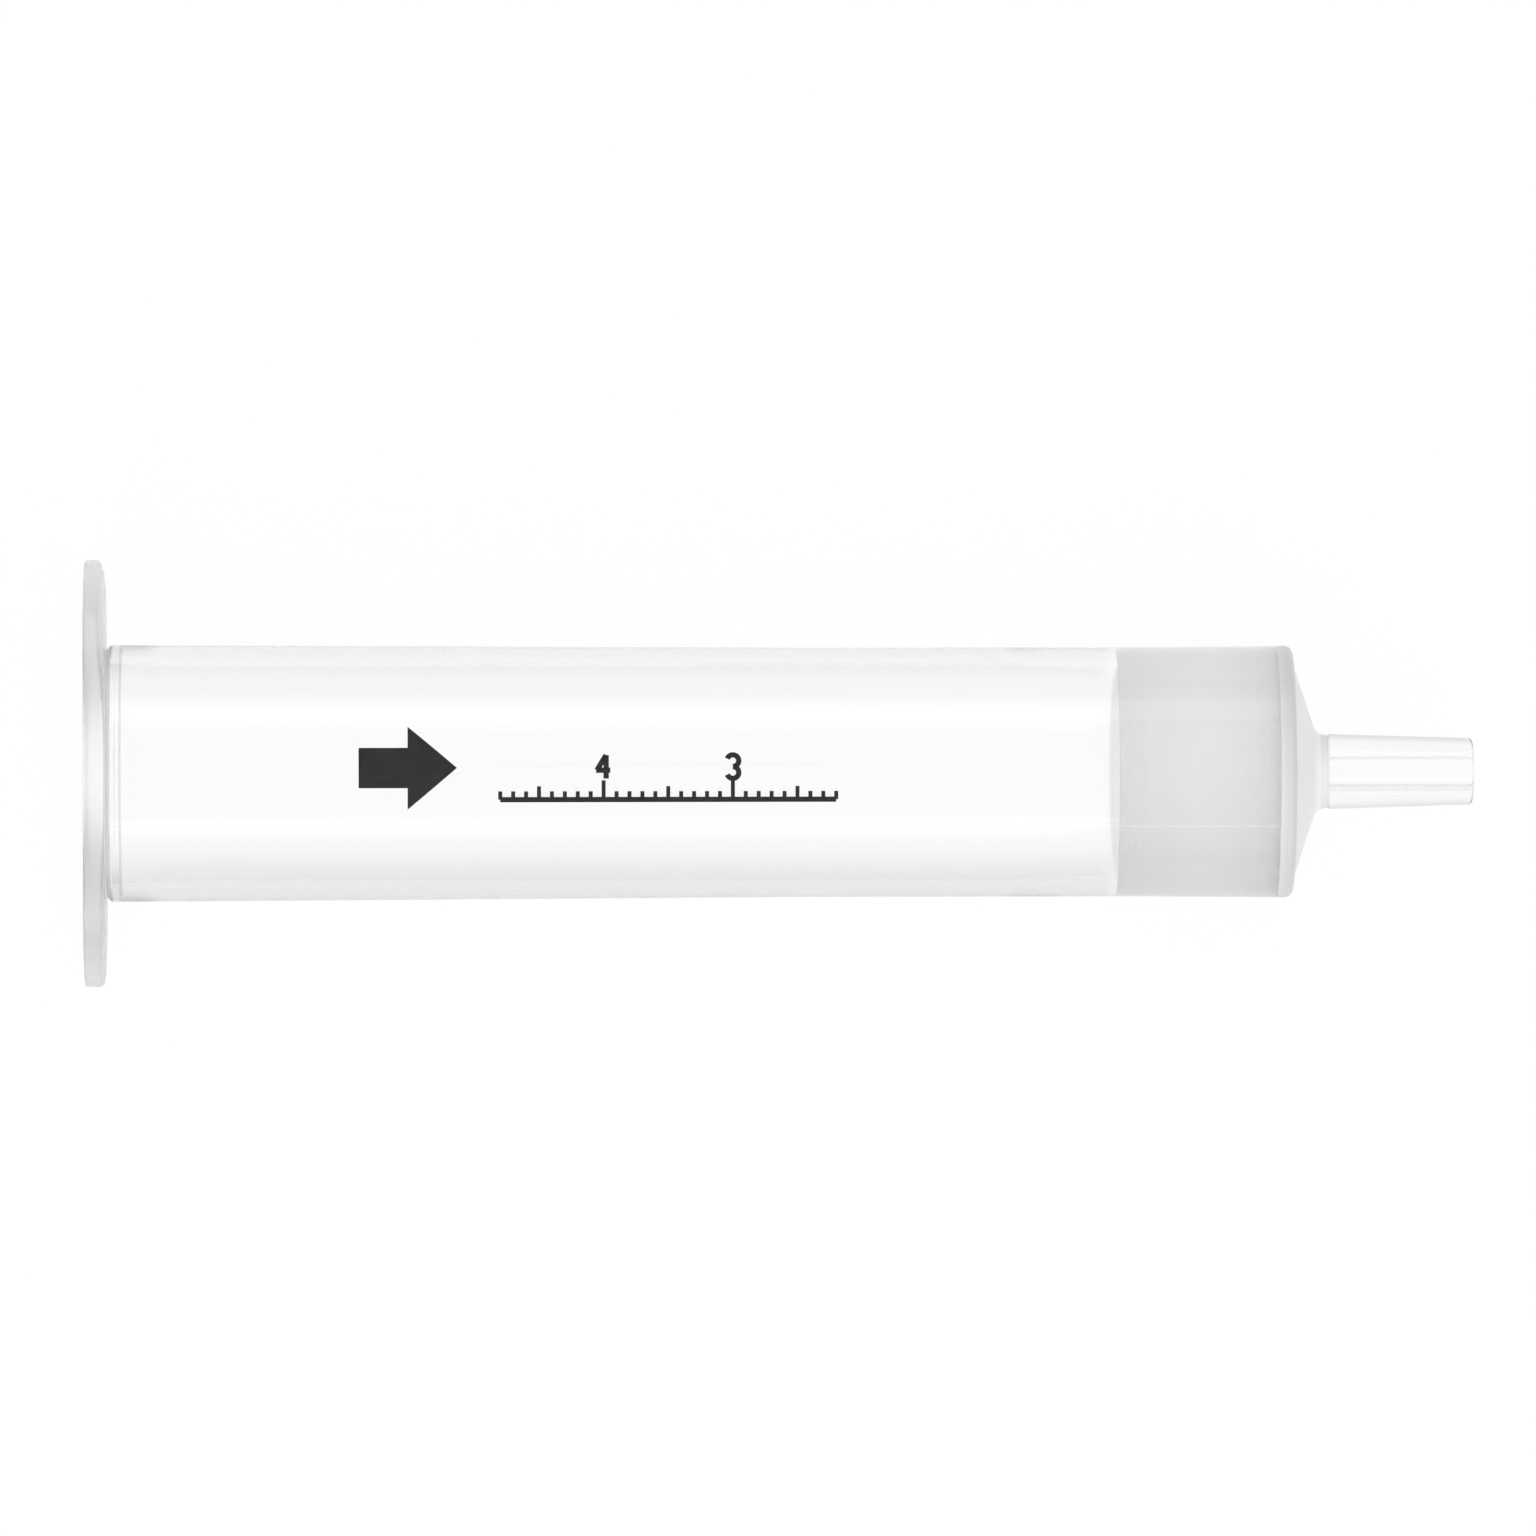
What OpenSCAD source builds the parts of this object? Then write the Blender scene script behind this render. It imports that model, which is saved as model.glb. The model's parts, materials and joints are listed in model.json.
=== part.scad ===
// Solid phase extraction cartridge: a moulded reservoir with a clipped flange and a luer tip,
// packed with a sorbent bed between two porous discs. It lies on its side, on one flat of the flange.
// The axis runs along +X from the mouth to the tip. The origin is the centre of the mouth face.

/* [Barrel] */
// Length from the mouth face to the end face round the tip
barrel_len = 71.9; // [50:0.1:120]
// Outer diameter just under the flange
mouth_od = 15.3; // [15:0.05:16.5]
// Outer diameter of the middle of the barrel
waist_od = 14.84; // [14.5:0.02:15]
// Outer diameter at the end face
base_od = 15; // [14.5:0.05:15.5]
// Length over which the barrel tapers below the flange
upper_draft_len = 42; // [10:1:45]
// Length over which the barrel widens again towards the end face
lower_draft_len = 10; // [4:0.5:20]
// Inner diameter of the reservoir
bore_d = 12.9; // [12:0.05:13.1]
// Inner diameter of the packed end, where the discs are pressed in
packed_d = 12.5; // [11.5:0.05:12.6]
// Inner diameter of the socket at the mouth
socket_d = 13.3; // [13.1:0.05:13.8]
// Depth of the socket at the mouth
socket_depth = 2.14; // [1:0.02:6]
// Chamfer on the inner edge of the mouth
mouth_chamfer = 0.2; // [0.05:0.05:0.4]
// Length of the cone that joins the socket to the reservoir
step_len = 0.4; // [0.1:0.05:0.8]
// Radius round the end face
end_round = 0.5; // [0.1:0.05:0.9]

/* [Flange] */
// Diameter of the flange before its flats are cut
flange_d = 25.4; // [20:0.1:30]
// Width across the two flats
across_flats = 17.5; // [16.6:0.1:19.5]
// Thickness of the flange
flange_t = 1.22; // [0.9:0.02:2.5]
// Radius on the mouth side of the rim, and on both edges of the flats
rim_round = 0.2; // [0.05:0.05:0.3]
// How far the soft edge on the barrel side of the rim reaches inwards
soft_edge_w = 1.2; // [0.4:0.1:2]
// How far the soft edge on the barrel side of the rim drops
soft_edge_h = 0.5; // [0.2:0.05:0.55]
// Fillet between the flange and the barrel
flange_fillet = 0.1; // [0.05:0.05:0.6]

/* [Funnel and luer tip] */
// Diameter at which the funnel leaves the end face
funnel_d = 13; // [10:0.1:13.6]
// Slope of the funnel, in degrees from the end face
funnel_slope = 18.3; // [10:0.1:25]
// Diameter of the neck between the funnel and the luer taper
neck_d = 4.34; // [4:0.02:4.4]
// Length from the end face to the start of the luer taper
neck_len = 2.15; // [2:0.05:5]
// Fillet between the funnel and the neck
neck_fillet = 0.8; // [0.2:0.05:0.8]
// Length of the luer taper
luer_len = 8.6; // [7.5:0.1:10]
// Diameter of the luer taper at its small end
luer_tip_d = 3.96; // [3.93:0.01:4.02]
// Bore of the luer tip
outlet_d = 1.8; // [1.2:0.1:2.6]
// Radius on the outer edge of the luer tip
tip_round = 0.3; // [0.1:0.05:0.5]

/* [Packing] */
// Thickness of each porous disc
frit_t = 1.6; // [1:0.1:3.2]
// Height of the sorbent bed
bed_h = 6.6; // [2:0.1:20]
// Radial gap round the discs and the bed
packing_gap = 0.02; // [0.01:0.01:0.05]
// Length of the narrow packed bore above the upper disc
packed_lead = 0.3; // [0.1:0.1:2]
// Length of the slow cone that leads the discs from the reservoir into the packed bore
lead_in_len = 6; // [1:0.5:10]

/* [Disc support] */
// Thickness of the floor at the edge of the lower disc
floor_t = 0.7; // [0.5:0.05:1.5]
// Width of the ring that the lower disc sits on
ledge_w = 0.7; // [0.3:0.05:1.2]
// Number of ribs that hold the lower disc off the collecting cone
rib_count = 6; // [3:1:8]
// Thickness of each rib
rib_t = 0.5; // [0.3:0.05:0.8]
// Diameter at which the ribs stop, round the outlet
rib_inner_d = 3.2; // [2.8:0.1:5]

/* [Hidden] */
$fn = 128;
// Segments in each rounded stretch of an outline
arc_steps = 8;
// How far a cut runs past the solid
cut = 1;
// Diameter that a luer taper loses over each unit of its length
luer_taper = 0.06;

tip_x = barrel_len + neck_len + luer_len;
floor_x = barrel_len - floor_t;
bed_x = floor_x - frit_t - bed_h;
packing_x = bed_x - frit_t;
packed_x = packing_x - packed_lead;
packing_d = packed_d - 2 * packing_gap;
luer_slope = luer_taper / 2;
luer_root_d = luer_tip_d + luer_taper * luer_len;
flat_z = across_flats / 2;

// The collecting cone runs parallel to the funnel outside it
cone_d = packed_d - 2 * ledge_w;
cone_h = (cone_d - outlet_d) / 2 * tan(funnel_slope);

// Points on an elliptical arc, from angle a0 to angle a1
function arc(centre, rx, ry, a0, a1) = [
    for (i = [0 : arc_steps])
        let (a = a0 + (a1 - a0) * i / arc_steps)
        centre + [rx * cos(a), ry * sin(a)]
];

// The fillet that fills the corner between the funnel and the neck: its centre is one fillet radius
// from both, and the corner opens by 90 degrees and the funnel's slope
neck_corner_x = barrel_len + (funnel_d - neck_d) / 2 * tan(funnel_slope);
neck_fillet_x = neck_corner_x + neck_fillet * tan(45 - funnel_slope / 2);
neck_fillet_centre = [neck_d / 2 + neck_fillet, neck_fillet_x];

// The round on the tip touches the tapered side and the end: its centre is one radius from both
tip_round_centre = [
    luer_tip_d / 2 + luer_slope * tip_round - tip_round * sqrt(1 + luer_slope * luer_slope),
    tip_x - tip_round
];

// Outline of the outside, as [radius, distance from the mouth]
outside = concat(
    [[0, 0]],
    arc([flange_d / 2 - rim_round, rim_round], rim_round, rim_round, -90, 0),
    arc([flange_d / 2 - soft_edge_w, flange_t - soft_edge_h], soft_edge_w, soft_edge_h, 0, 90),
    arc([mouth_od / 2 + flange_fillet, flange_t + flange_fillet], flange_fillet, flange_fillet, 270, 180),
    [[waist_od / 2, flange_t + upper_draft_len]],
    [[waist_od / 2, barrel_len - end_round - lower_draft_len]],
    arc([base_od / 2 - end_round, barrel_len - end_round], end_round, end_round, 0, 90),
    [[funnel_d / 2, barrel_len]],
    arc(neck_fillet_centre, neck_fillet, neck_fillet, 270 - funnel_slope, 180),
    [[neck_d / 2, barrel_len + neck_len]],
    [[luer_root_d / 2, barrel_len + neck_len]],
    arc(tip_round_centre, tip_round, tip_round, atan(luer_slope), 90),
    [[0, tip_x]]
);

// Outline of the inside down to the floor that the lower disc sits on
inside = [
    [0, -cut],
    [socket_d / 2 + mouth_chamfer + cut, -cut],
    [socket_d / 2 + mouth_chamfer, 0],
    [socket_d / 2, mouth_chamfer],
    [socket_d / 2, socket_depth],
    [bore_d / 2, socket_depth + step_len],
    [bore_d / 2, packed_x - lead_in_len],
    [packed_d / 2, packed_x],
    [packed_d / 2, floor_x],
    [0, floor_x]
];

// Turns a solid that stands on +Z so that it points along +X
module along_x() {
    rotate([0, 90, 0]) children();
}

// A plain round solid on the axis, from x0 over a length
module round_bar(d, x0, length) {
    along_x() translate([0, 0, x0]) cylinder(d = d, h = length);
}

// The space between the planes of the two flats, over the whole length
module between_flats() {
    translate([-cut, -flange_d / 2 - cut, -flat_z]) cube([tip_x + 2 * cut, flange_d + 2 * cut, across_flats]);
}

// What rounds one long edge of a flat, for a corner at the origin with its solid towards -X and -Z
module edge_waste() {
    rotate([90, 0, 0]) linear_extrude(flange_d + 2 * cut, center = true) difference() {
        translate([-rim_round, -rim_round]) square(rim_round + cut);
        translate([-rim_round, -rim_round]) circle(r = rim_round);
    }
}

// The rounded edges of both flats, on the mouth side and on the barrel side
module flat_edges() {
    for (side = [0, 1]) mirror([0, 0, side]) {
        translate([flange_t, 0, flat_z]) edge_waste();
        translate([0, 0, flat_z]) mirror([1, 0, 0]) edge_waste();
    }
}

// The collecting cone under the lower disc, with the ribs left standing in it
module collecting_cone() {
    rib_len = cone_d / 2 + cut;
    difference() {
        along_x() translate([0, 0, floor_x]) cylinder(d1 = cone_d, d2 = outlet_d, h = cone_h);
        difference() {
            for (i = [0 : rib_count - 1]) rotate([i * 360 / rib_count, 0, 0])
                translate([floor_x - cut, -rib_t / 2, 0]) cube([cone_h + 2 * cut, rib_t, rib_len]);
            round_bar(rib_inner_d, floor_x - 2 * cut, cone_h + 4 * cut);
        }
    }
}

// One moulding: flange, reservoir, funnel and luer tip
module barrel() {
    color([0.93, 0.94, 0.94, 0.45]) difference() {
        intersection() {
            along_x() rotate_extrude() polygon(outside);
            between_flats();
        }
        along_x() rotate_extrude() polygon(inside);
        collecting_cone();
        round_bar(outlet_d, floor_x, tip_x - floor_x + cut);
        flat_edges();
    }
}

// Porous disc that covers the bed
module upper_frit() {
    color([0.86, 0.87, 0.88]) round_bar(packing_d, packing_x, frit_t);
}

// Packed powder between the two discs
module sorbent_bed() {
    color([0.88, 0.89, 0.9]) round_bar(packing_d, bed_x, bed_h);
}

// Porous disc that holds the bed up, on the ledge and the ribs
module lower_frit() {
    color([0.82, 0.83, 0.84]) round_bar(packing_d, floor_x - frit_t, frit_t);
}

barrel();
upper_frit();
sorbent_bed();
lower_frit();
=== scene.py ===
"""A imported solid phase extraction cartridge. It lies on one flat of its flange and the edge of its end face.

The axis runs along +X from the mouth to the luer tip. Sizes are in millimetres; MM turns them into metres.
"""
import json
import bpy
import numpy as np
from mathutils import Matrix, Vector


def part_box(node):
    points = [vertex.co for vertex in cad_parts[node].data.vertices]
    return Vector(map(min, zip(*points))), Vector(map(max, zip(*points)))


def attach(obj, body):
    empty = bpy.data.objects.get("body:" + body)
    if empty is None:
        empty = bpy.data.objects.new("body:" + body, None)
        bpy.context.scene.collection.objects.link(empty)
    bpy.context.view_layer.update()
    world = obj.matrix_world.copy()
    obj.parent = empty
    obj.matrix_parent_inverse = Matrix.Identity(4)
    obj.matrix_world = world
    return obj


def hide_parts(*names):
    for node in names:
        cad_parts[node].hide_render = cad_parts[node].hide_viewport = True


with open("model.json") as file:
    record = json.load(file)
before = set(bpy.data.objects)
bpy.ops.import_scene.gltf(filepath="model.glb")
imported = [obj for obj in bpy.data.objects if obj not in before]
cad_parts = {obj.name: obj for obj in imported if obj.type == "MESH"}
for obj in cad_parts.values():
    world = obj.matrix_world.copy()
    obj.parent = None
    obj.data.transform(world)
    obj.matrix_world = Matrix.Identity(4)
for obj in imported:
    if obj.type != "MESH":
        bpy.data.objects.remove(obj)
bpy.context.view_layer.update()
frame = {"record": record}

MM = 0.001
COLUMNS = 360


# ---------------------------------------------------------------- sizes, from the frame and the moulding

mounts = {m["name"]: m for m in frame["record"]["mounts"]}


def span(node):
    """Lowest and highest corner of a CAD node, in millimetres."""
    low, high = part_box(node)
    return np.array(low) / MM, np.array(high) / MM


def ends(node):
    """Where a CAD node starts and ends along the axis."""
    low, high = span(node)
    return low[0], high[0]


UPPER_ENDS = ends("upper_frit")
BED_ENDS = ends("sorbent_bed")
LOWER_ENDS = ends("lower_frit")
TIP_X, _, FLAT_Z = span("barrel")[1]

FLANGE_R = 12.7
FLANGE_T = mounts["flange_underside"]["pos_m"][0] / MM
MOUTH_R = 7.65
WAIST_R = 7.42
BASE_R = 7.5
UPPER_DRAFT_LEN, LOWER_DRAFT_LEN = 42, 10
UPPER_DRAFT_X = FLANGE_T + UPPER_DRAFT_LEN
FLOOR_T = 0.7
FLOOR_X = LOWER_ENDS[1]
END_X = FLOOR_X + FLOOR_T
END_ROUND = 0.5
LOWER_DRAFT_X = END_X - END_ROUND - LOWER_DRAFT_LEN

SOCKET_R = mounts["mouth_socket"]["dims"]["r_mm"]
SOCKET_DEPTH = 2.14
STEP_LEN = 2.4
SOCKET_END = SOCKET_DEPTH + STEP_LEN
MOUTH_CHAMFER = 0.2
BORE_R = mounts["reservoir_bore"]["dims"]["r_mm"]
PACKED_R = 6.25
PACKED_LEAD = 0.3
PACKED_X = UPPER_ENDS[0] - PACKED_LEAD
LEAD_LEN = 6.0

FUNNEL_R = 6.5
FUNNEL_SLOPE_DEG = 18.3
FUNNEL_TAN = np.tan(np.radians(FUNNEL_SLOPE_DEG))
NECK_R = 2.17
NECK_LEN = 2.15
NECK_X = END_X + NECK_LEN
LUER_SLOPE = 0.03
LUER_TIP_R = 1.98
OUTLET_R = mounts["outlet_bore"]["dims"]["r_mm"]
LEDGE_W = 0.7
CONE_R = PACKED_R - LEDGE_W
RIB_COUNT = 6
RIB_HALF = 0.25
RIB_INNER_R = 1.6

EDGE_BREAK = 0.06
RIM_ROUND = 0.2
SHOULDER_DROP = 0.4
SHOULDER_LEN = 0.35
DRAFT_BLEND = 3
LEAD_BLEND = 20
FUNNEL_EDGE = 0.3
NECK_FILLET = 0.8
NECK_EDGE = 0.03
TIP_ROUND = 0.3


# ---------------------------------------------------------------- surfaces

def rounded(corners, steps=7):
    """Outline through (x, r, radius) corners: each one becomes an arc of its radius, tangent to both sides.

    With u and v the unit directions in and out and p the corner, the arc leaves p - u * d and ends at
    p + v * d, where d is the radius times the tangent of half the turn. Between them it turns evenly about
    its centre. The first and the last corner stay points.
    """
    table = np.array(corners, float)
    points, radii = table[:, :2], table[:, 2]
    out = [points[:1]]
    for i in range(1, len(points) - 1):
        u = points[i] - points[i - 1]
        v = points[i + 1] - points[i]
        u, v = u / np.linalg.norm(u), v / np.linalg.norm(v)
        turn = np.arctan2(u[0] * v[1] - u[1] * v[0], u @ v)
        reach = radii[i] * np.tan(abs(turn) / 2)
        across = np.array([-u[1], u[0]]) * np.sign(turn)
        centre = points[i] - u * reach + across * radii[i]
        angle = np.linspace(0, turn, steps)[:, None]
        start = -across * radii[i]
        side = np.array([-start[1], start[0]])
        out.append(centre + start * np.cos(angle) + side * np.sin(angle))
    outline = np.concatenate(out + [points[-1:]])
    closest = 1e-6
    moved = np.linalg.norm(np.diff(outline, axis=0), axis=1) > closest
    return outline[np.append(True, moved)]


def filled(outline, longest):
    """The same outline, with each straight stretch cut into equal steps no longer than the given length.

    A long stretch first gets a point near each of its ends, so that smooth shading leaves its middle flat.
    """
    guard = 0.1
    step = np.diff(outline, axis=0)
    length = np.linalg.norm(step, axis=1, keepdims=True)
    inwards = step / length * guard
    stretch = np.stack([outline[:-1], outline[:-1] + inwards, outline[1:] - inwards], axis=1)
    is_long = np.broadcast_to(length > 4 * guard, (len(step), 2))
    keep = np.concatenate([np.full((len(step), 1), True), is_long], axis=1)
    outline = np.concatenate([stretch[keep], outline[-1:]])
    steps = np.ceil(np.linalg.norm(np.diff(outline, axis=0), axis=1) / longest).astype(int).clip(1)
    starts = np.repeat(np.arange(len(steps)), steps)
    share = np.arange(steps.sum()) - np.repeat(np.cumsum(steps) - steps, steps)
    share = (share / steps[starts])[:, None]
    return np.concatenate([outline[starts] * (1 - share) + outline[starts + 1] * share, outline[-1:]])


def around(x, r, angle):
    """Points at a distance x along the axis and r from it, at an angle from +Z towards +Y, in metres."""
    x, r, angle = np.broadcast_arrays(x, r, angle)
    return np.stack([x, r * np.sin(angle), r * np.cos(angle)], axis=-1) * MM


def even_angles():
    """The angles of the columns of a piece that is turned."""
    return np.arange(COLUMNS) * 2 * np.pi / COLUMNS


def cells(rows, columns, close_rows, close_columns):
    """Quads of a grid: cell (i, j) lies between rows i, i + 1 and columns j, j + 1.

    Where rows or columns are closed, the last one joins the first.
    """
    i = np.arange(rows if close_rows else rows - 1)[:, None]
    j = np.arange(columns if close_columns else columns - 1)[None, :]
    i, j = np.broadcast_arrays(i, j)
    down, right = (i + 1) % rows, (j + 1) % columns
    corners = [i * columns + j, down * columns + j, down * columns + right, i * columns + right]
    return np.stack(corners, axis=-1).reshape(-1, 4)


def meshed(name, points, faces, skin):
    """A piece in the scene, from its points in metres and lists of the corners of its faces."""
    mesh = bpy.data.meshes.new(name)
    mesh.from_pydata(points.tolist(), [], faces)
    mesh.shade_smooth()
    mesh.materials.append(skin)
    piece = bpy.data.objects.new(name, mesh)
    bpy.context.scene.collection.objects.link(piece)
    return piece


def turned(name, points, close_rows, skin):
    """A piece over a grid whose columns run round the axis. Open rows get a cap on their first and last.

    Its volume, summed as tetrahedra from the origin, gives the side that faces outwards.
    """
    rows, columns = points.shape[:2]
    quads = cells(rows, columns, close_rows, True)
    flat = points.reshape(-1, 3)
    faces = quads.tolist()
    if not close_rows:
        ring = np.arange(columns)
        faces += [ring.tolist(), (rows * columns - 1 - ring).tolist()]
    a, b, c, d = (flat[quads[:, k]] for k in range(4))
    if (np.cross(b - a, c - a) * a).sum() + (np.cross(c - a, d - a) * a).sum() < 0:
        faces = [face[::-1] for face in faces]
    return meshed(name, flat, faces, skin)


def flange_radius(angle):
    """Outline of the flange: the lesser of the disc's radius and the flats' distance along each angle.

    A power mean with a high negative power takes the lesser of two and blends them softly at the corners.
    """
    sharpness = 60
    steepest = 1e-3
    disc = np.full_like(angle, FLANGE_R)
    flats = FLAT_Z / np.maximum(np.abs(np.cos(angle)), steepest)
    return FLAT_Z * ((disc / FLAT_Z) ** -sharpness + (flats / FLAT_Z) ** -sharpness) ** (-1 / sharpness)


def rim_rows(angle):
    """Rows over the flange's edge, from the mouth face to the barrel side.

    The mouth side is a quarter round. The barrel side is a quarter ellipse, tight on the flats and wider on
    the wings, most of all on the wing towards +Y. A smooth step from flat to wing is the share of widening.
    """
    widest_y, widest_x = 1.2, 0.3
    tighter_y, tighter_x = 0.3, 0.15
    edge_rows = 9
    outline = flange_radius(angle)[None, :]
    wing = (outline - FLAT_Z) / (FLANGE_R - FLAT_Z)
    wing = wing * wing * (3 - 2 * wing)
    turn = np.linspace(0, np.pi / 2, edge_rows)[:, None]
    towards_y = np.sin(angle) > 0
    soft_w = RIM_ROUND + np.where(towards_y, widest_y, tighter_y) * wing
    soft_h = RIM_ROUND + np.where(towards_y, widest_x, tighter_x) * wing
    x_mouth = RIM_ROUND * (1 - np.sin(turn)) + 0 * outline
    r_mouth = outline - RIM_ROUND * (1 - np.cos(turn))
    x_barrel = FLANGE_T - soft_h * (1 - np.sin(turn))
    r_barrel = outline - soft_w * (1 - np.cos(turn))
    return np.concatenate([x_mouth[::-1], x_barrel]), np.concatenate([r_mouth[::-1], r_barrel])


def rib_angles(r, columns):
    """Angles of the columns at each radius, and which of them lie on a rib.

    Four columns on each side of a rib's middle lie on it, evenly up to the angle whose sine is half its width
    over the radius. The others share what is left of the sector evenly.
    """
    on_rib = 4
    per_rib = columns // RIB_COUNT
    half = per_rib // 2
    sector = 2 * np.pi / RIB_COUNT
    column = np.arange(columns) - half
    step = np.mod(column, per_rib) - half
    edge = np.arcsin(RIB_HALF / r)[:, None]
    near = edge * np.abs(step) / on_rib
    far = edge + (sector / 2 - edge) * (np.abs(step) - on_rib - 1) / (half - on_rib - 1)
    offset = np.sign(step) * np.where(np.abs(step) <= on_rib, near, far)
    middle = (np.arange(columns) // per_rib) * sector
    return middle + offset, np.abs(step) <= on_rib


def barrel_points():
    """Grid over the moulding: rows follow its section from the mouth, over the outside, and back inside.

    Only the rim and the ribs aren't round: there the radius or the place of a row changes with the angle.
    """
    angle = even_angles()
    rim_x, rim_r = rim_rows(angle)
    outside = rounded([
        (FLANGE_T, MOUTH_R, 0),
        (FLANGE_T, MOUTH_R - SHOULDER_DROP, EDGE_BREAK),
        (FLANGE_T + SHOULDER_LEN, MOUTH_R, SHOULDER_LEN),
        (UPPER_DRAFT_X, WAIST_R, DRAFT_BLEND),
        (LOWER_DRAFT_X, WAIST_R, DRAFT_BLEND),
        (END_X, BASE_R, END_ROUND),
        (END_X, FUNNEL_R, FUNNEL_EDGE),
        (END_X + (FUNNEL_R - NECK_R) * FUNNEL_TAN, NECK_R, NECK_FILLET),
        (NECK_X, NECK_R, NECK_EDGE),
        (NECK_X, LUER_TIP_R + LUER_SLOPE * (TIP_X - NECK_X), NECK_EDGE),
        (TIP_X, LUER_TIP_R, TIP_ROUND),
        (TIP_X, OUTLET_R, EDGE_BREAK),
        (TIP_X - 2 * EDGE_BREAK, OUTLET_R, 0),
    ])
    inside = rounded([
        (FLOOR_X, CONE_R + EDGE_BREAK, 0),
        (FLOOR_X, PACKED_R, EDGE_BREAK),
        (PACKED_X, PACKED_R, LEAD_BLEND),
        (PACKED_X - LEAD_LEN, BORE_R, LEAD_BLEND),
        (SOCKET_END, BORE_R, 2 * STEP_LEN),
        (SOCKET_DEPTH, SOCKET_R, 2 * STEP_LEN),
        (MOUTH_CHAMFER, SOCKET_R, EDGE_BREAK),
        (0, SOCKET_R + MOUTH_CHAMFER, EDGE_BREAK),
        (0, SOCKET_R + 3 * MOUTH_CHAMFER, 0),
    ], steps=4)
    wall_row, bore_row = 2.5, 1.0
    outside, inside = filled(outside, wall_row), filled(inside, wall_row)
    cone_apex = FLOOR_X + (CONE_R - OUTLET_R) * FUNNEL_TAN
    bore = filled(np.array([(TIP_X - 3 * EDGE_BREAK, OUTLET_R), (cone_apex, OUTLET_R)]), bore_row)

    past_outlet, before_ribs, sliver, near_ledge = 0.05, 0.3, 0.02, 0.5
    rib_rows = 5
    cone_r = np.concatenate([
        [OUTLET_R + past_outlet, RIB_INNER_R - before_ribs, RIB_INNER_R - sliver],
        np.linspace(RIB_INNER_R, CONE_R - near_ledge, rib_rows),
        [CONE_R - sliver, CONE_R],
    ])
    cone_angle, on_rib = rib_angles(cone_r, COLUMNS)
    cone_x = FLOOR_X + (CONE_R - cone_r)[:, None] * FUNNEL_TAN + 0 * cone_angle
    cone_x = np.where(on_rib[None, :] & (cone_r >= RIB_INNER_R)[:, None], FLOOR_X, cone_x)

    return np.concatenate([
        around(rim_x, rim_r, angle),
        around(outside[:, :1], outside[:, 1:], angle),
        around(bore[:, :1], bore[:, 1:], angle),
        around(cone_x, cone_r[:, None], cone_angle),
        around(inside[:, :1], inside[:, 1:], angle),
    ])


def disc_points(low, high, radius):
    """Grid over a disc: rows run from near the middle of one face, over a rounded edge, to the other face."""
    core, edge, disc_row = 0.02, 0.03, 0.8
    section = filled(rounded([
        (low, core, 0),
        (low, radius, edge),
        (high, radius, edge),
        (high, core, 0),
    ], steps=5), disc_row)
    return around(section[:, :1], section[:, 1:], even_angles())


# ---------------------------------------------------------------- print on the barrel, flat (x, y) at first

INK_HEIGHT = 0.015
INK_STEP = 0.4
ARC_POINTS, HEAD_POINTS = 24, 12
LINE_HALF = 0.16
MARK_HALF = 0.12
WHOLE_MARK, HALF_MARK, TENTH_MARK = 1.15, 0.8, 0.5
DIGIT_H = 1.4
DIGIT_GAP = 0.8
SCALE_Y = -1.6
ML_LENGTH = 7.65
ZERO_ML_X = 61.4
FIRST_TENTH, LAST_TENTH = 22, 48
ARROW_Y = 0.3
ARROW_START, ARROW_NECK, ARROW_POINT = 16.3, 19.2, 22.1
SHAFT_HALF, HEAD_HALF, POINT_HALF = 1.2, 2.5, 0.02


def stroke(path, half_width):
    """Grid over a stroke: each point of a path, moved along its normal to both sides by half its width."""
    path = np.array(path, float)
    half_width = np.broadcast_to(np.array(half_width, float), len(path))
    tangent = np.gradient(path, axis=0)
    tangent /= np.linalg.norm(tangent, axis=1, keepdims=True)
    normal = np.stack([-tangent[:, 1], tangent[:, 0]], axis=-1)
    across = np.linspace(-1, 1, 3 + 2 * int(half_width.max() / INK_STEP))
    return path[:, None, :] + normal[:, None, :] * across[None, :, None] * half_width[:, None, None]


def line(start, end, half_width=LINE_HALF):
    """A straight stroke from one point to another, in short steps."""
    start, end = np.array(start, float), np.array(end, float)
    share = np.linspace(0, 1, 2 + int(np.linalg.norm(end - start) / INK_STEP))[:, None]
    return stroke(start * (1 - share) + end * share, half_width)


def arc(centre, radius, first_deg, last_deg):
    """A stroke along a part of a circle."""
    angle = np.radians(np.linspace(first_deg, last_deg, ARC_POINTS))
    return stroke(np.array(centre) + radius * np.stack([np.cos(angle), np.sin(angle)], axis=-1), LINE_HALF)


def digit_strokes(digit, x, y):
    """The strokes of a 3 or a 4 whose middle is at a place."""
    half = DIGIT_H / 2
    if digit == 3:
        open_deg, meet_deg = 160, 90
        return [
            arc((x, y + half / 2), half / 2, open_deg, -meet_deg),
            arc((x, y - half / 2), half / 2, meet_deg, -open_deg),
        ]
    stem, left, right, bar = x + 0.15, x - 0.4, x + 0.4, y - 0.2
    overhang = 0.05
    return [
        line((stem, y + half), (left, bar)),
        line((left - overhang, bar), (right, bar)),
        line((stem, y + half), (stem, y - half)),
    ]


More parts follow.
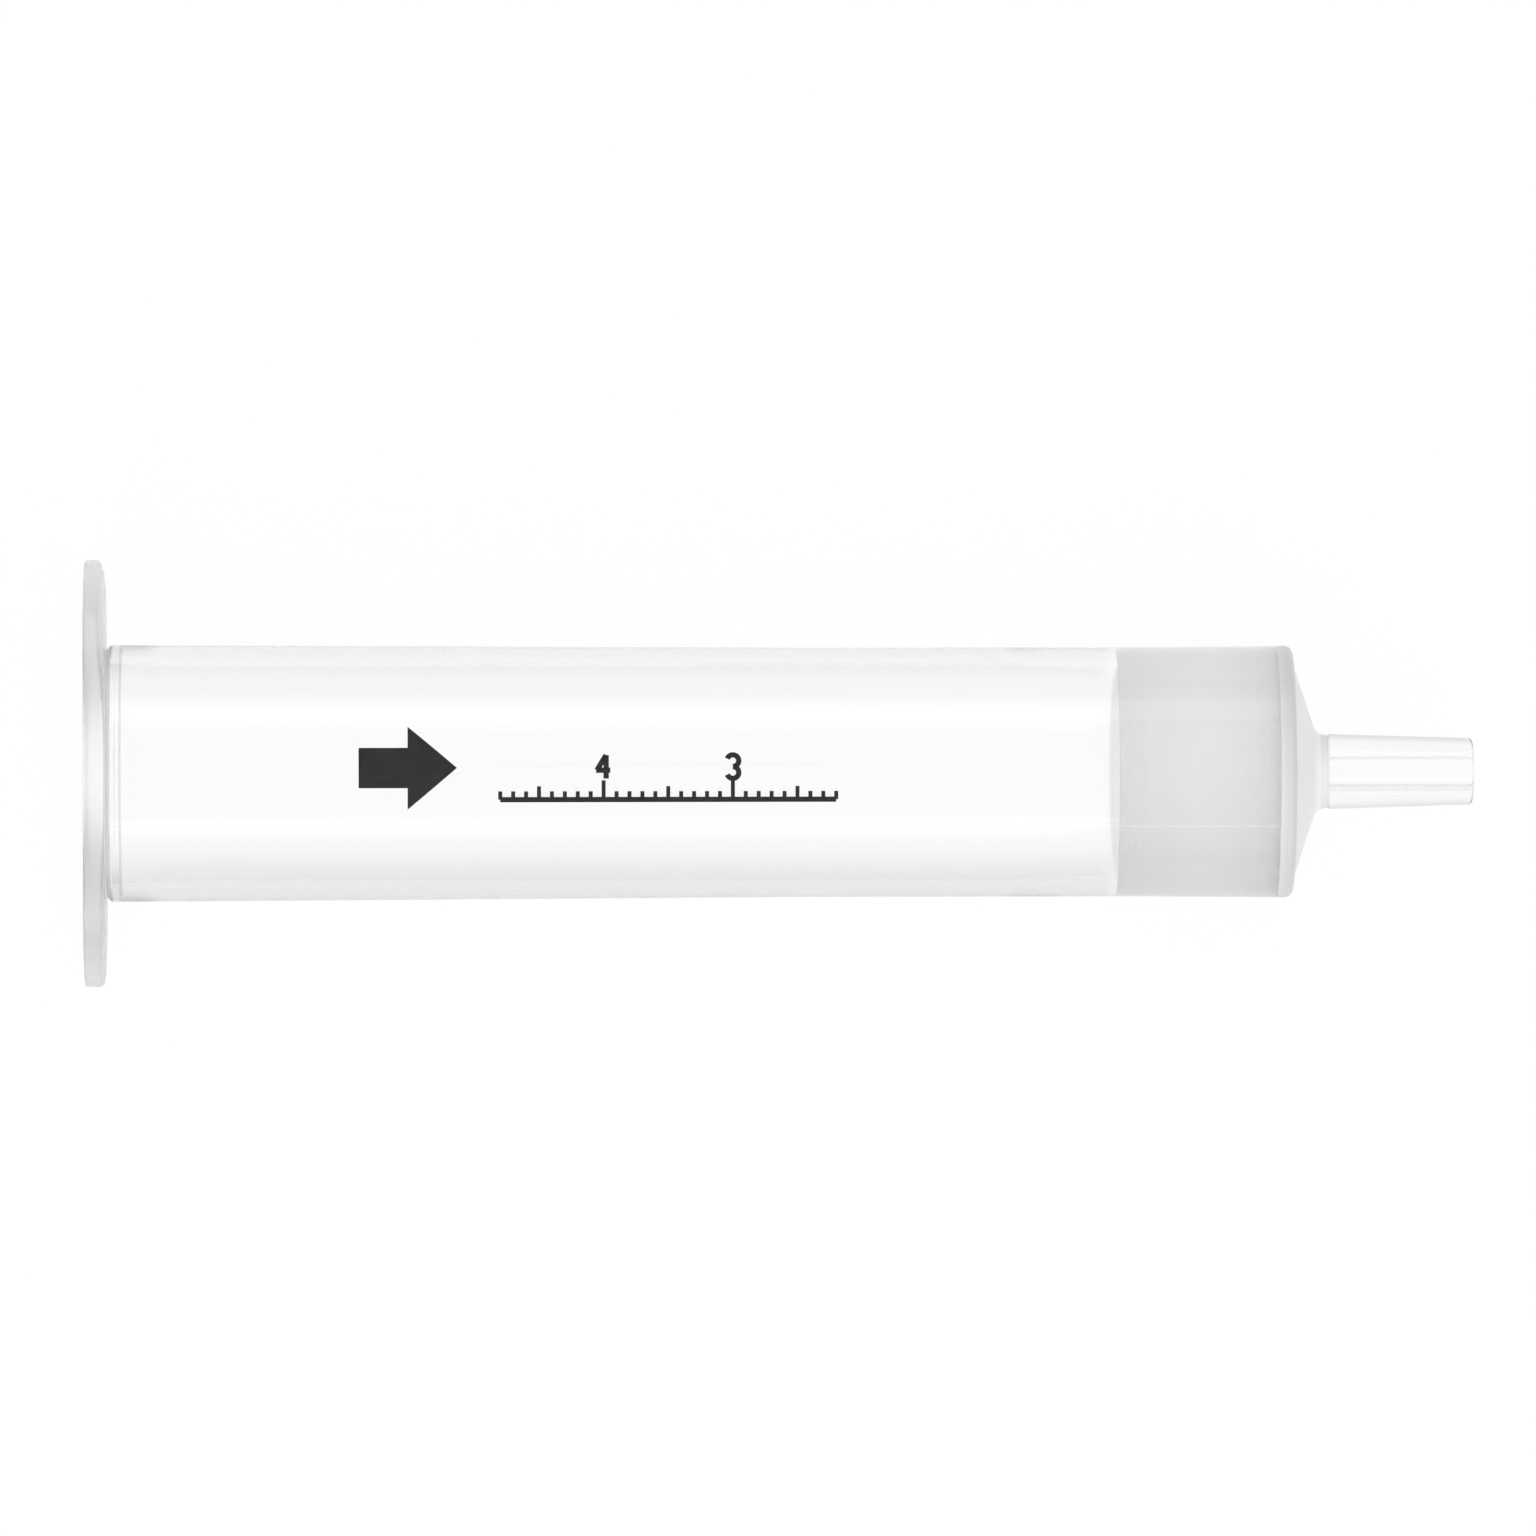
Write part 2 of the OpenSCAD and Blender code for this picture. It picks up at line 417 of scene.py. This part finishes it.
def scale_strokes():
    """A volume scale that reads up from the packing: a mark for each tenth, longer at halves and wholes."""
    def place(tenths):
        return ZERO_ML_X - tenths / 10 * ML_LENGTH

    strokes = [line((place(LAST_TENTH), SCALE_Y), (place(FIRST_TENTH), SCALE_Y))]
    for tenths in range(FIRST_TENTH, LAST_TENTH + 1):
        height = WHOLE_MARK if tenths % 10 == 0 else HALF_MARK if tenths % 5 == 0 else TENTH_MARK
        strokes.append(line((place(tenths), SCALE_Y), (place(tenths), SCALE_Y + height), MARK_HALF))
        if tenths % 10 == 0:
            strokes += digit_strokes(tenths // 10, place(tenths), SCALE_Y + height + DIGIT_GAP)
    return strokes


def arrow_strokes():
    """A block arrow that points to the tip: an even shaft, and a head that narrows to a point."""
    head = np.linspace(ARROW_NECK, ARROW_POINT, HEAD_POINTS)
    head_path = np.stack([head, np.full_like(head, ARROW_Y)], axis=-1)
    return [
        line((ARROW_START, ARROW_Y), (ARROW_NECK, ARROW_Y), SHAFT_HALF),
        stroke(head_path, np.linspace(HEAD_HALF, POINT_HALF, len(head))),
    ]


def laid_on(strokes):
    """Points and faces of strokes laid on the top of the barrel: y becomes a length of arc round it."""
    points, quads, count = [], [], 0
    for grid in strokes:
        x, y = grid[..., 0], grid[..., 1]
        r = np.interp(x, [FLANGE_T, UPPER_DRAFT_X], [MOUTH_R, WAIST_R]) + INK_HEIGHT
        points.append(around(x, r, y / r).reshape(-1, 3))
        quads.append(cells(*grid.shape[:2], False, False) + count)
        count += len(points[-1])
    return np.concatenate(points), np.concatenate(quads).tolist()


# ---------------------------------------------------------------- materials

class Field:
    """A value that varies over a surface. It wraps a node's output, and maths on it adds Math nodes."""

    def __init__(self, graph, socket):
        self.graph, self.socket = graph, socket

    def math(self, operation, *values):
        return self.graph.node("Math", {"operation": operation}, dict(enumerate(values)))

    def __add__(self, other):
        return self.math("ADD", self, other)

    def __rsub__(self, other):
        return self.math("SUBTRACT", other, self)

    def __mul__(self, other):
        return self.math("MULTIPLY", self, other)

    __radd__, __rmul__ = __add__, __mul__

    def between(self, low, high):
        """0 below low, 1 above high, and smooth between them."""
        return self.graph.node("MapRange", {"interpolation_type": "SMOOTHSTEP"},
                               {"Value": self, "From Min": low, "From Max": high})


class Graph:
    """The node tree of one material or of the world."""

    def __init__(self, tree):
        self.tree = tree
        tree.nodes.clear()

    def node(self, kind, settings=None, inputs=None, output=0):
        """Adds a node: its settings first, then a value or a link for each of its inputs."""
        made = self.tree.nodes.new("ShaderNode" + kind)
        for key, value in (settings or {}).items():
            setattr(made, key, value)
        for key, value in (inputs or {}).items():
            if isinstance(value, Field):
                self.tree.links.new(value.socket, made.inputs[key])
            else:
                made.inputs[key].default_value = value
        return Field(self, made.outputs[output])

    def place(self):
        """Object coordinates, in millimetres."""
        point = self.node("TexCoord", output="Object")
        return self.node("VectorMath", {"operation": "SCALE"}, {0: point, "Scale": 1 / MM})

    def noise(self, point, size, detail=2.0):
        """Soft noise whose patches are about as large as the given size."""
        return self.node("TexNoise", None, {"Vector": point, "Scale": 1 / size, "Detail": detail})

    def tint(self, amount, first, second):
        """A colour that runs from the first to the second as the amount goes from 0 to 1."""
        return self.node("Mix", {"data_type": "RGBA"}, {0: amount, 6: first, 7: second}, output=2)

    def bump(self, height, depth, strength):
        """A surface normal for a height that goes from 0 to 1 over a depth in millimetres."""
        return self.node("Bump", None, {"Height": height, "Distance": depth * MM, "Strength": strength})


def material(name, paint):
    """A material whose graph is filled in by a function, which returns its shader and maybe its volume."""
    made = bpy.data.materials.new(name)
    made.use_nodes = True
    graph = Graph(made.node_tree)
    shaders = paint(graph)
    output = graph.tree.nodes.new("ShaderNodeOutputMaterial")
    for shader, socket in zip(shaders, ("Surface", "Volume")):
        graph.tree.links.new(shader.socket, output.inputs[socket])
    return made


def grey(level):
    return (level, level, level, 1.0)


PLASTIC_IOR = 1.49
CLEAR_SHARE = 0.985
RIPPLE_SIZE = 6.0
GLOSS, GLOSS_RIPPLE = 0.05, 0.03
FLANGE_SATIN = 0.38
# tone and shares of the darker colour where the clear skin is seen edge on: partly haze, partly painted shade
# at the edges
HAZE_AND_SHADE_TONE = 0.5
WALL_HAZE_AND_SHADE, SOCKET_HAZE_AND_SHADE, LUER_HAZE_AND_SHADE = 0.36, 0.5, 0.3
HAZE_AND_SHADE_FROM, HAZE_AND_SHADE_FULL = 0.25, 0.8
# the darker milky tone is painted shade: around the lower disc, over the barrel's rounded end, under the
# flange, on the socket's edge and before the neck
MILKY_TONE, SHADED_MILKY_TONE = 1.0, 0.74
NECK_LINE_SHADE = 0.5
MILKY_ROUGHNESS, MILKY_RIPPLE = 0.35, 0.1
MILKY_SHARE = 0.25
STEP_MILK = 0.5
CORNER_END = FLANGE_T + SHOULDER_LEN + 0.05
SATIN_X = FLOOR_X - 0.3
NECK_LINE_X = NECK_X - 0.6
BULK_TONE = 0.8
BULK_DENSITY = 54.0
FADE = 0.1


def moulded_polypropylene(g):
    """Natural polypropylene. Its bulk takes a little light, so that long ways through it are darker.

    The mould's finish changes along the axis: fine satin on the flange, gloss on the barrel and the luer tip,
    and a milky skin on the end face and the funnel, in the corner under the flange and on the edge of the
    socket. The milky skin's colour is darker with painted shade around the lower disc, over the barrel's
    rounded end, in the corner under the flange, on the edge of the socket and in a line just before the neck.
    Where the clear skin is seen edge on, except over the packing, its colour is darker: partly the haze of a
    long way through the wall, partly painted shade at the edges of the wall, the socket and the luer tip.
    """
    place = g.place()
    x = g.node("SeparateXYZ", None, {0: place}, output="X")
    off_axis = g.node("VectorMath", {"operation": "MULTIPLY"}, {0: place, 1: (0, 1, 1)})
    r = g.node("VectorMath", {"operation": "LENGTH"}, {0: off_axis}, output="Value")
    ripple = g.noise(place, RIPPLE_SIZE, 1.0)

    under_flange = x.between(FLANGE_T - FADE / 2, FLANGE_T + FADE / 2)
    flange = 1 - under_flange
    corner = under_flange * (1 - x.between(CORNER_END - FADE, CORNER_END))
    step = x.between(SOCKET_DEPTH - FADE, SOCKET_DEPTH)
    step = step * (1 - x.between(SOCKET_DEPTH, SOCKET_DEPTH + 1.5 * FADE))
    step = step * (1 - r.between(SOCKET_R + FADE, SOCKET_R + 2 * FADE))
    funnel = x.between(SATIN_X, SATIN_X + FADE) * (1 - x.between(NECK_X - FADE, NECK_X))
    # painted shade: the milky skin is darker before the end face and in a line just before the neck
    neck_line = x.between(NECK_LINE_X, NECK_LINE_X + 2 * FADE) + x.between(NECK_X - 2.5 * FADE, NECK_X - FADE)
    shaded_milky = 1 - x.between(END_X - FADE, END_X + FADE) + NECK_LINE_SHADE * neck_line

    over_packing = x.between(PACKED_X - 5 * FADE, PACKED_X) * (1 - x.between(END_X, NECK_X))
    socket = 1 - x.between(SOCKET_DEPTH, SOCKET_DEPTH + 3 * FADE)
    luer = x.between(NECK_X, NECK_X + FADE)
    # darker colour where the skin is seen edge on: partly haze, partly painted shade at the edges of the wall,
    # the socket and the luer tip
    edge_on = g.node("LayerWeight", output="Facing").between(HAZE_AND_SHADE_FROM, HAZE_AND_SHADE_FULL)
    haze_and_edge_shade = WALL_HAZE_AND_SHADE + SOCKET_HAZE_AND_SHADE * socket + LUER_HAZE_AND_SHADE * luer
    haze_and_edge_shade = edge_on * under_flange * (1 - over_packing) * haze_and_edge_shade

    clear = g.node("BsdfPrincipled", None, {
        "Base Color": g.tint(haze_and_edge_shade, grey(1.0), grey(HAZE_AND_SHADE_TONE)),
        "Roughness": GLOSS + GLOSS_RIPPLE * ripple + FLANGE_SATIN * flange,
        "IOR": PLASTIC_IOR,
        "Transmission Weight": CLEAR_SHARE,
    })
    milky = g.node("BsdfPrincipled", None, {
        "Base Color": g.tint(shaded_milky, grey(MILKY_TONE), grey(SHADED_MILKY_TONE)),
        "Roughness": MILKY_ROUGHNESS + MILKY_RIPPLE * ripple,
        "IOR": PLASTIC_IOR,
        "Transmission Weight": MILKY_SHARE,
    })
    shader = g.node("MixShader", None, {0: funnel + corner + STEP_MILK * step, 1: clear, 2: milky})
    bulk = g.node("VolumeAbsorption", None, {"Color": grey(BULK_TONE), "Density": BULK_DENSITY})
    return shader, bulk


def sintered_polyethylene(g):
    """Porous disc: fused grains, with painted shade in the pores between them, and tone that varies in soft
    clouds.
    """
    tone, pore_shade = 0.94, 0.94
    light, dark = grey(tone), grey(tone * pore_shade)
    grain_size, cloud_size = 0.18, 1.2
    grain_edge, pore_middle = 0.35, 0.8
    pore_depth, softness = 0.03, 0.3
    point = g.place()
    grain = g.node("TexVoronoi", {"feature": "F1"},
                   {"Vector": point, "Scale": 1 / grain_size, "Randomness": 1.0})
    pore = grain.between(grain_edge, pore_middle)
    cloud = g.noise(point, cloud_size, 3.0)
    shader = g.node("BsdfPrincipled", None, {
        "Base Color": g.tint(0.5 * pore + 0.5 * cloud, light, dark),
        "Roughness": 0.75,
        "Normal": g.bump(1 - pore, pore_depth, softness),
    })
    return (shader,)


def packed_powder(g):
    """Packed sorbent: very fine grains, in soft patches where they lie denser."""
    tone, patch_shade = 0.965, 0.93
    light, dark = grey(tone), grey(tone * patch_shade)
    grain_size, patch_size = 0.09, 1.8
    grain_depth, softness = 0.03, 0.5
    point = g.place()
    grain = g.noise(point, grain_size)
    patch = g.noise(point, patch_size)
    shader = g.node("BsdfPrincipled", None, {
        "Base Color": g.tint(0.5 * grain + 0.5 * patch, light, dark),
        "Roughness": 0.95,
        "Normal": g.bump(grain, grain_depth, softness),
    })
    return (shader,)


def printing_ink(g):
    """Black ink in fine dots: solid where they overlap, with a pinhole between each four of them."""
    dot_pitch, cloud_size = 0.14, 0.7
    dot_edge, pinhole = 0.64, 0.7
    black, dark_grey = grey(0.012), grey(0.03)
    point = g.place()
    dots = g.node("TexVoronoi", {"voronoi_dimensions": "2D"},
                  {"Vector": point, "Scale": 1 / dot_pitch, "Randomness": 0.0})
    cloud = g.noise(point, cloud_size)
    shader = g.node("BsdfPrincipled", None, {
        "Base Color": g.tint(cloud, black, dark_grey),
        "Roughness": 0.5,
        "Specular IOR Level": 0.1,
        "Alpha": 1 - dots.between(dot_edge, pinhole),
    })
    return (shader,)


# ---------------------------------------------------------------- pieces

PLASTIC = material("natural_polypropylene", moulded_polypropylene)
FRIT = material("sintered_polyethylene", sintered_polyethylene)
SORBENT = material("packed_sorbent", packed_powder)
INK = material("printing_ink", printing_ink)
FRIT_PRESS = 0.02
BED_PRESS = 0.015
BED_REACH = 0.03
PRESSED_BED_ENDS = (BED_ENDS[0] - BED_REACH, BED_ENDS[1] + BED_REACH)

moulding = barrel_points()
barrel = turned("moulded_barrel", moulding, True, PLASTIC)
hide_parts("barrel")
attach(barrel, "root")

for name, node, skin, slot, press, (low, high) in (
    ("upper_porous_disc", "upper_frit", FRIT, "frit", FRIT_PRESS, UPPER_ENDS),
    ("packed_bed", "sorbent_bed", SORBENT, "sorbent", BED_PRESS, PRESSED_BED_ENDS),
    ("lower_porous_disc", "lower_frit", FRIT, "frit", FRIT_PRESS, LOWER_ENDS),
):
    disc = turned(name, disc_points(low, high, PACKED_R + press), False, skin)
    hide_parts(node)
    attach(disc, "root")

for name, strokes in (("flow_arrow", arrow_strokes()), ("volume_scale", scale_strokes())):
    print_piece = meshed(name, *laid_on(strokes), INK)
    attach(print_piece, "root")


# ---------------------------------------------------------------- floor, light and camera

tilt = np.arctan2(FLAT_Z - BASE_R, END_X - END_ROUND)
along = Vector((np.cos(tilt), 0, np.sin(tilt)))
across = Vector((0, 1, 0))
up = Vector((-np.sin(tilt), 0, np.cos(tilt)))
floor_height = (moulding.reshape(-1, 3) @ np.array(up)).min()

SHEET_TONE = 0.95
OWN_LIGHT = 0.94
# painted shadow and painted pool of light on the sheet, seen only through the plastic
SHADOW_SIDE = 0.9
SHADE_FULL_Y, SHADE_FROM_Y = -8.5, -4.5
PATCH_CENTRE = (45.0, 0.0, 0.0)
PATCH_R, DIM_R = 60.0, 320.0
DIM_HORIZON = 0.6
HORIZON_BAND = (-0.1, 0.4)
SKYLIGHT = 1.35
SIDELIGHT = 0.4


def white(g, kind, strength):
    return g.node(kind, None, {"Color": grey(1.0), "Strength": strength})


def mixed(g, share, first, second):
    return g.node("MixShader", None, {0: share, 1: first, 2: second})


def before_scatter(g):
    """1 for a ray that has met nothing matt since the camera, 0 for one that gathers light for the matt."""
    depth = g.node("LightPath", output="Diffuse Depth")
    return depth.math("LESS_THAN", depth, 0.5)


def through_plastic(g):
    """1 for a ray from the camera that a clear or glossy surface has sent on, 0 for any other."""
    glossy = g.node("LightPath", output="Is Glossy Ray")
    either = glossy.math("MAXIMUM", glossy, g.node("LightPath", output="Is Transmission Ray"))
    return either * before_scatter(g)


def white_stage(g):
    """A matt white sheet. Most of its light is its own, so that it is white where nothing shades it.

    Through the plastic it is a painted pool of light under the cartridge, with a painted shadow on its near
    side, and dim far away.
    """
    place = g.place()
    reach = g.node("VectorMath", {"operation": "DISTANCE"}, {0: place, 1: PATCH_CENTRE}, output="Value")
    side = g.node("SeparateXYZ", None, {0: place}, output="Y")
    matt = g.node("BsdfDiffuse", None, {"Color": grey(SHEET_TONE)})
    lit = white(g, "Emission", 1.0)
    shaded = white(g, "Emission", SHADOW_SIDE)
    # painted shadow on the near side of the sheet, seen only through the plastic
    near = mixed(g, side.between(SHADE_FULL_Y, SHADE_FROM_Y), shaded, lit)
    # painted pool of light: the sheet glows fully under the cartridge and dims far away, seen only through the
    # plastic
    patch = mixed(g, reach.between(PATCH_R, DIM_R), near, white(g, "Emission", DIM_HORIZON))
    plain = mixed(g, OWN_LIGHT, matt, lit)
    return (mixed(g, through_plastic(g), plain, patch),)


HALF_FLOOR = 4.0
floor_mesh = bpy.data.meshes.new("floor")
floor_corners = [
    along * (HALF_FLOOR * sx) + across * (HALF_FLOOR * sy) + up * floor_height
    for sx, sy in ((-1, -1), (1, -1), (1, 1), (-1, 1))
]
floor_mesh.from_pydata([tuple(p) for p in floor_corners], [], [(0, 1, 2, 3)])
floor_mesh.materials.append(material("white_sheet", white_stage))
floor = bpy.data.objects.new("floor", floor_mesh)
bpy.context.scene.collection.objects.link(floor)


def studio_world():
    """White to the camera. Rays through the plastic see a dim horizon, and the matt is lit from above."""
    world = bpy.data.worlds.new("studio")
    world.use_nodes = True
    sky = Graph(world.node_tree)
    height = sky.node("SeparateXYZ", None, {0: sky.node("TexCoord", output="Generated")}, output="Z")
    backdrop = white(sky, "Background", 1.0)
    horizon = white(sky, "Background", DIM_HORIZON)
    around_plastic = mixed(sky, height.between(*HORIZON_BAND), horizon, backdrop)
    sides, top = white(sky, "Background", SIDELIGHT), white(sky, "Background", SKYLIGHT)
    room = mixed(sky, height.between(0.0, 1.0), sides, top)
    air = mixed(sky, through_plastic(sky), room, around_plastic)
    air = mixed(sky, sky.node("LightPath", output="Is Camera Ray"), air, backdrop)
    sky.tree.links.new(air.socket, sky.tree.nodes.new("ShaderNodeOutputWorld").inputs["Surface"])
    return world


def softbox(name, height_deg, reach, width, length, radiance, shines_on):
    """A rectangular lamp along the axis that faces the cartridge's middle, at a height above the +Y side."""
    data = bpy.data.lights.new(name, "AREA")
    data.shape = "RECTANGLE"
    data.size = length
    data.size_y = width
    data.energy = radiance * np.pi * width * length
    lamp = bpy.data.objects.new(name, data)
    bpy.context.scene.collection.objects.link(lamp)
    rise = np.radians(height_deg)
    away = Vector((0, np.cos(rise), np.sin(rise)))
    x_axis = Vector((1, 0, 0))
    lamp.matrix_world = Matrix((x_axis, away.cross(x_axis), away)).transposed().to_4x4()
    lamp.location = Vector((TIP_X / 2 * MM, 0, 0)) + away * reach
    lamp.visible_diffuse = shines_on == "matt"
    lamp.visible_glossy = shines_on == "gloss"
    lamp.visible_transmission = shines_on == "gloss"


bpy.context.scene.world = studio_world()
softbox("overhead_softbox", height_deg=138, reach=1.0, width=0.9, length=0.9, radiance=1.05, shines_on="matt")
softbox("back_softbox", height_deg=31, reach=0.7, width=0.25, length=1.2, radiance=0.6, shines_on="gloss")
softbox("front_strip", height_deg=141, reach=0.7, width=0.012, length=1.2, radiance=3.0, shines_on="gloss")

FRAME_PIXELS = 1536
PIXELS_PER_MM = 16.8
MOUTH_PIXEL = 85
AXIS_PIXEL = 772.4
LENS = 472.0
SENSOR = 36.0
ROLL_DEG = 0.095
camera_data = bpy.data.cameras.new("camera")
camera_data.lens = LENS
camera_data.sensor_width = SENSOR
camera_data.clip_end = 10.0
camera = bpy.data.objects.new("camera", camera_data)
bpy.context.scene.collection.objects.link(camera)
distance = LENS / SENSOR * FRAME_PIXELS / PIXELS_PER_MM * MM
roll = np.radians(ROLL_DEG)
right = along * np.cos(roll) - across * np.sin(roll)
top = across * np.cos(roll) + along * np.sin(roll)
aim = along * ((FRAME_PIXELS / 2 - MOUTH_PIXEL) / PIXELS_PER_MM * MM)
aim += across * ((AXIS_PIXEL - FRAME_PIXELS / 2) / PIXELS_PER_MM * MM)
camera.matrix_world = Matrix((right, top, up)).transposed().to_4x4()
camera.location = aim + up * distance

scene = bpy.context.scene
scene.camera = camera
scene.view_settings.view_transform = "Standard"
scene.cycles.blur_glossy = 0.0
scene.cycles.glossy_bounces = 16
scene.cycles.transmission_bounces = 16
scene.cycles.max_bounces = 24
